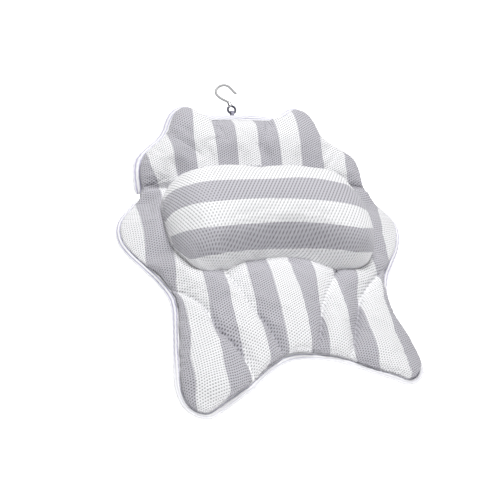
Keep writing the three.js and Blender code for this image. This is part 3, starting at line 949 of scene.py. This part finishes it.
# ------------------------------------------------------------------ neck roll
def build_roll():
    verts, tris = plan_mesh(roll_outline, GRID, [0.5, 1.2, 2.2, 3.4, 4.8, 6.4, 8.2, 10.0, 12.0, 14.2])
    rim = rim_of(tris, len(verts))
    d, foot, along = nearest(verts, roll_outline)
    d = np.where(rim, 0.0, d)
    u, v = verts[:, 0], verts[:, 1]
    # which way the side faces, evened out round the corners
    edge_n = -inward(roll_outline)
    size = len(edge_n)
    span = np.arange(-7, 8)
    edge_n = np.array([edge_n[(i + span) % size].mean(0) for i in range(size)])
    edge_n /= np.linalg.norm(edge_n, axis=1)[:, None]
    step = np.r_[0, np.cumsum(np.linalg.norm(np.roll(roll_outline, -1, 0) - roll_outline, axis=1))]
    normal = np.stack([np.interp(along, step, np.r_[edge_n[:, k], edge_n[0, k]]) for k in range(2)], 1)
    tree = KDTree(len(pv))
    for i, (x, y) in enumerate(pplan):
        tree.insert(Vector((x, y, 0)), i)
    tree.balance()
    seat = np.array([np.mean([ph[k] for _, k, _ in tree.find_n(Vector((x, y, 0)), 4)]) for x, y in verts])
    none = np.zeros(len(verts))
    rise = ROLL_HIGH * membrane(verts, tris, ROLL_REACH, rim, none, none) ** 0.5
    # straight section of the same skin, and the front's share of it
    dd = np.linspace(0, 60, 2401) ** 2 / 60
    zz = ROLL_HIGH * np.sqrt(1 - np.cosh((63 - dd) / ROLL_REACH) / math.cosh(63 / ROLL_REACH))
    run = spline(ROLL_FRONT, 0.2)
    share = np.clip(np.interp(dd, run[:, 0], run[:, 1]) / np.maximum(zz, 1e-6), 0, 1)
    share = np.where(dd > 23.5, 1.0, share)
    front = smooth((-normal[:, 1] - 0.35) / 0.5) * smooth((118 - np.abs(u)) / 30)
    rise *= 1 - front * (1 - np.interp(d, dd, share))
    rise *= 1 + (0.115 + 0.035 * smooth((-u - 30) / 50) + 0.04 * smooth((u - 60) / 40)) * smooth((v + 48) / 30)
    top = np.where(rim, seat - 1.0, ROLL_BASE + rise + (seat - ROLL_BASE) * np.exp(-d / 4.0))
    top += 0.5 * waves(verts, 70, 31) * smooth(d / 25)
    low = np.minimum(seat + 0.5, top - 0.3)
    n = len(verts)
    index = np.full(n, -1)
    index[rim] = np.nonzero(rim)[0]
    inner = np.nonzero(~rim)[0]
    index[inner] = n + np.arange(len(inner))
    allv = np.vstack([np.c_[verts, top], np.c_[verts[inner], low[inner]]])
    faces = [tuple(t) for t in tris] + [tuple(index[t][::-1]) for t in tris]
    ob = make("neck_roll", on_lower(allv[:, 0], allv[:, 1], allv[:, 2]), faces, ROLL_STRIPED)

    # fabric coordinates: the plan, let out by the length that the cloth runs down the sides
    slack = np.hypot(np.diff(dd), np.diff(zz)) - np.diff(dd)
    slack = np.r_[np.cumsum(slack[::-1])[::-1], 0]
    extra = np.interp(d, dd, slack)
    fx = u + normal[:, 0] * extra
    fy = v + normal[:, 1] * extra
    # stripes run along the roll: their place is measured down the front and the back, by position along a skew line
    down = np.maximum(91 - top, 0)
    place = v - down * smooth((-58 - v) / 40) + down * smooth((v + 30) / 20) * smooth((112 - np.abs(u)) / 25)
    at = u - 0.227 * v + 0.231 * top
    edges = [np.interp(at, *zip(*e)) if len(e) > 1 else np.full(len(u), e[0][1]) for e in ROLL_EDGES]
    share = sum(np.clip((a - place) / (a - b), 0, 1) for a, b in zip(edges, edges[1:]))
    tell = lambda x: np.r_[x, x[inner]]
    attribute(ob, "fabric", np.c_[tell(fy), tell(fx), tell(place)] * MM)
    share = share - 3.5
    # along the sewn rim at the roll's left end the stripe is set to white
    seam = rim & (u < -60) & (v > -143) & (v < -40)
    attribute(ob, "stripe", tell(np.where(seam, 2 * np.round(share / 2), share)), "FLOAT")
    attribute(ob, "turn", tell(smooth((-u - 62) / 50)), "FLOAT")
    settle(ob, np.r_[1.0 * (rim | (d < 1.0)), np.ones(len(inner))], 4.0, 4.0)
    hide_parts("neck_roll_cover", "neck_roll_fill")
    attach(ob, "lower_panel")
    return ob


build_roll()

# ------------------------------------------------------------------ cups and eyelets
CUP = [
    (0, -15.2), (6, -15.5), (11, -16.5), (14.4, -17.75), (15.2, -18), (18.5, -18), (18.95, -17.8), (19, -17.2),
    (18.9, -16.7), (17.6, -15.2), (15, -13), (12, -10.9), (9.7, -9.2), (8.2, -7.6), (7.5, -6.4), (7.4, -5.2),
    (7.4, -3.9), (7.1, -3.6), (5.2, -3.6), (5.2, 1.6), (7.6, 1.6), (8, 2.0), (7.8, 3.6), (7.2, 4.8), (5.8, 5.9),
    (3.4, 6.7), (0, 7.0),
]
EYELET = [
    (5.7, -3.0), (6.0, -3.3), (9.3, -3.3), (9.85, -3.1), (10, -2.75), (9.9, -2.35), (7, -2.3), (7, 0.3), (9.8, 0.3),
    (10, 0.7), (9.7, 1.3), (6.0, 1.3), (5.7, 1.0), (5.7, -3.0),
]


def build_cups():
    for i, (x, y) in enumerate(LOWER_CUPS + UPPER_CUPS):
        put = on_lower if i < 4 else on_head
        place = lambda v, x=x, y=y, put=put: put(v[:, 0] + x, v[:, 1] + y, v[:, 2])
        cup = lathe(f"cup_vinyl_{i + 1}", CUP, VINYL, place)
        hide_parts(f"suction_cup_{i + 1}")
        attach(cup, f"cup_{i + 1}")
        eye = lathe(f"eyelet_ring_{i + 1}", EYELET, PLASTIC, place)
        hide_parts(f"cup_eyelet_{i + 1}")
        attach(eye, "lower_panel" if i < 4 else "head_panel")


build_cups()


# ------------------------------------------------------------------ loop, swivel and hook
def hook_place(v):
    """Across and along the swivel's axis, from the ring's centre, and out of the hook's plane, to the frame."""
    u = LOOP_X + math.cos(LEAN) * v[:, 0] - math.sin(LEAN) * v[:, 1]
    w = EYE_W + RING_R + math.sin(LEAN) * v[:, 0] + math.cos(LEAN) * v[:, 1]
    return on_head(u, w, HOOK_H + v[:, 2])


def build_hook():
    line = spline(HOOK_LINE, 0.7)
    t = np.gradient(line, axis=0)
    t /= np.linalg.norm(t, axis=1)[:, None]
    side = np.stack([t[:, 1], -t[:, 0]], 1)
    sides = 16
    run = np.r_[0, np.cumsum(np.linalg.norm(np.diff(line, axis=0), axis=1))]
    verts, faces = [], []
    for i in range(len(line)):
        r = HOOK_WIRE
        left = run[-1] - run[i]
        if left < HOOK_WIRE:
            r = math.sqrt(max(HOOK_WIRE**2 - (HOOK_WIRE - left) ** 2, 0.02))
        for k in range(sides):
            a = 2 * math.pi * k / sides
            verts.append((line[i, 0] + side[i, 0] * r * math.cos(a), line[i, 1] + side[i, 1] * r * math.cos(a), r * math.sin(a)))
    for i in range(len(line) - 1):
        for k in range(sides):
            q = (k + 1) % sides
            faces.append((i * sides + k, i * sides + q, (i + 1) * sides + q, (i + 1) * sides + k))
    faces.append(tuple(range(sides))[::-1])
    faces.append(tuple((len(line) - 1) * sides + k for k in range(sides)))
    ob = make("hook_wire_bent", hook_place(np.array(verts)), faces, WIRE)
    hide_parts("hook")
    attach(ob, "hook")
    head = lathe(
        "hook_rivet_head",
        [(0, 7.2), (1.7, 7.2), (2.1, 7.45), (2.1, 7.9), (1.8, 8.2), (0, 8.2)],
        WIRE,
        lambda v: hook_place(np.stack([v[:, 0], v[:, 2], v[:, 1]], 1)),
        24,
    )
    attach(head, "hook")

    # swivel: an eye of round wire and a turned barrel
    verts, faces = [], []
    big, small = 48, 14
    for i in range(big):
        a = 2 * math.pi * i / big
        for k in range(small):
            b = 2 * math.pi * k / small
            r = RING_R + 1.6 * math.cos(b)
            verts.append((r * math.sin(a), r * math.cos(a), 1.6 * math.sin(b)))
    for i in range(big):
        for k in range(small):
            j, q = (i + 1) % big, (k + 1) % small
            faces.append((i * small + k, i * small + q, j * small + q, j * small + k))
    eye = make("swivel_eye", hook_place(np.array(verts)), faces, SWIVEL)
    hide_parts("hook_swivel")
    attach(eye, "swivel")
    barrel = lathe(
        "swivel_barrel",
        [
            (2.5, 6.8), (2.5, 8.55), (1.8, 8.6), (1.8, 9.8), (2.0, 10.0), (2.7, 10.0), (3.1, 9.75), (3.3, 9.3), (3.3, 8.8),
            (2.9, 8.5), (2.9, 8.2), (3.3, 7.9), (3.3, 5.4), (3.0, 4.7), (2.4, 4.4), (0, 4.4), (0, 6.8), (2.5, 6.8),
        ][:-1],
        BARREL,
        lambda v: hook_place(np.stack([v[:, 0], v[:, 2], v[:, 1]], 1)),
        32,
    )
    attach(barrel, "swivel")

    # webbing loop, doubled, sewn to the back of the head panel
    mid = EYE_W - 3.2
    side_line = [(91, -3.35)]
    for k in range(25):
        a = math.pi + 0.16 + k / 24 * (2 * math.pi - 0.32)
        side_line.append((mid + 6.5 * math.cos(a), HOOK_H + 3.8 * math.sin(a)))
    side_line.append((91, -2.65))
    path = spline(side_line, 0.9)
    t = np.gradient(path, axis=0)
    t /= np.linalg.norm(t, axis=1)[:, None]
    nrm = np.stack([-t[:, 1], t[:, 0]], 1)
    half, thick = 2.0, 0.5
    ring = [(-half, -thick * 0.5), (-half + 0.25, -thick), (0, -thick * 1.1), (half - 0.25, -thick), (half, -thick * 0.5),
            (half, thick * 0.5), (half - 0.25, thick), (0, thick * 1.1), (-half + 0.25, thick), (-half, thick * 0.5)]
    run = np.r_[0, np.cumsum(np.linalg.norm(np.diff(path, axis=0), axis=1))]
    verts, faces, fab = [], [], []
    for i in range(len(path)):
        thin = 0.62 if path[i, 0] < 108 else 1.0
        for x, y in ring:
            verts.append((LOOP_X + x, path[i, 0] + nrm[i, 0] * y * thin, path[i, 1] + nrm[i, 1] * y * thin))
            fab.append((run[i], x, 0))
    m = len(ring)
    for i in range(len(path) - 1):
        for k in range(m):
            q = (k + 1) % m
            faces.append((i * m + k, i * m + q, (i + 1) * m + q, (i + 1) * m + k))
    faces.append(tuple(range(m))[::-1])
    faces.append(tuple((len(path) - 1) * m + k for k in range(m)))
    v = np.array(verts)
    loop = make("loop_webbing", on_head(v[:, 0], v[:, 1], v[:, 2]), faces, WEBBING)
    attribute(loop, "fabric", np.array(fab) * MM)
    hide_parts("hanger_loop")
    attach(loop, "head_panel")


build_hook()


# ------------------------------------------------------------------ floor and light
def make_stage():
    m = Nodes("studio_floor")
    geo = m.new("ShaderNodeTexCoord").outputs["Object"]
    n = m.noise(geo, 3.0, 2.0)
    m.link(m.mix(m.range(n, 0.3, 0.7, 0, 1, "LINEAR"), (0.93, 0.93, 0.935), (0.95, 0.95, 0.95)), m.bsdf.inputs["Base Color"])
    m.bsdf.inputs["Roughness"].default_value = 0.9
    m.bsdf.inputs["Specular IOR Level"].default_value = 0.1
    m.bsdf.inputs["Emission Color"].default_value = (1.0, 1.0, 1.0, 1.0)
    m.bsdf.inputs["Emission Strength"].default_value = 0.6
    me = bpy.data.meshes.new("floor")
    me.from_pydata([(-12, -12, 0), (12, -12, 0), (12, 12, 0), (-12, 12, 0)], [], [(0, 1, 2, 3)])
    me.materials.append(m.mat)
    floor = bpy.data.objects.new("floor", me)
    bpy.context.scene.collection.objects.link(floor)

    world = bpy.data.worlds.new("studio")
    bpy.context.scene.world = world
    world.use_nodes = True
    bg = world.node_tree.nodes["Background"]
    bg.inputs["Color"].default_value = (1.0, 1.0, 1.0, 1.0)
    bg.inputs["Strength"].default_value = 0.05

    def area(name, at, aim, size, power, colour=(1, 1, 1)):
        d = bpy.data.lights.new(name, "AREA")
        d.shape = "DISK"
        d.size = size
        d.energy = power
        d.color = colour
        o = bpy.data.objects.new(name, d)
        bpy.context.scene.collection.objects.link(o)
        o.location = at
        o.rotation_mode = "QUATERNION"
        o.rotation_quaternion = (Vector(aim) - Vector(at)).to_track_quat("-Z", "Y")

    area("key", (0.0, 0.66, 1.9), (0, 0, 0), 1.0, 46)
    area("fill", (0.1, -1.8, 0.5), (0, 0, 0.03), 1.0, 12.5)
    view = bpy.context.scene.view_settings
    view.view_transform = "Standard"
    view.look = "None"
    view.exposure = 0.0


make_stage()
